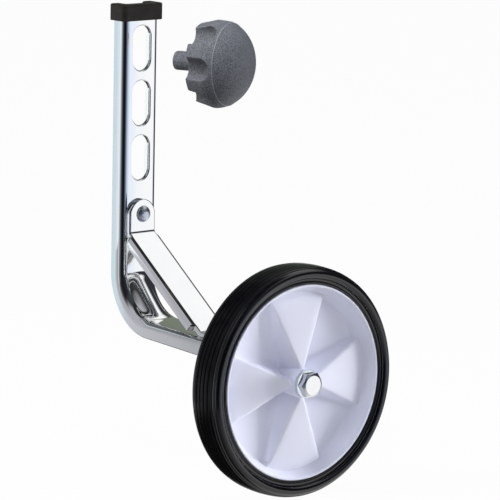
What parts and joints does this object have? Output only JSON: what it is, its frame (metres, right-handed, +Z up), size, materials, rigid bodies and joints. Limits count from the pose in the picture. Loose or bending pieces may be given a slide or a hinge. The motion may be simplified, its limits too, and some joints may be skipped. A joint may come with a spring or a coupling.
{
  "type": "bicycle stabiliser wheel unit",
  "caption": "One side of a child's bicycle training wheels: a bent steel arm with axle slots and a riveted brace, a small wheel on a bolt axle, and its hand knob taken off.",
  "frame": {"origin": "centre of the middle slot, on the arm's outer face", "axes": "+Z up along the arm, -Y outward along the wheel's axle, X across the arm"},
  "size_m": [0.13, 0.1664, 0.2609],
  "materials": {
    "bright_steel": "bright plated pressed steel",
    "zinc_fastener": "bright zinc plated fasteners",
    "cap_plastic": "black moulded plastic",
    "disc_plastic": "white moulded plastic",
    "tyre_rubber": "glossy black tyre",
    "knob_plastic": "dark grey grained plastic",
    "insert_brass": "turned brass",
    "nylon": "plain nylon"
  },
  "bodies": {
    "arm": {"arm_channel": "bright_steel", "brace": "bright_steel", "upper_rivet": "bright_steel", "lower_rivet": "bright_steel", "end_cap": "cap_plastic", "axle_bolt": "zinc_fastener", "front_washer": "zinc_fastener", "axle_sleeve": "zinc_fastener", "rear_washer": "zinc_fastener", "lock_nut": "zinc_fastener", "nut_ring": "nylon"},
    "wheel": {"wheel_disc": "disc_plastic", "tyre": "tyre_rubber"},
    "knob": {"knob_grip": "knob_plastic", "knob_insert": "insert_brass"}
  },
  "joints": [
    {"name": "wheel_spin", "type": "hinge", "parent": "arm", "child": "wheel", "pos_m": [0, -0.1372, -0.1387], "axis": [0, -1, 0], "continuous": true},
    {"name": "knob_turn", "type": "hinge", "parent": "arm", "child": "knob", "pos_m": [0, -0.078, 0.0306], "axis": [0.4067, -0.9135, 0], "continuous": true}
  ]
}
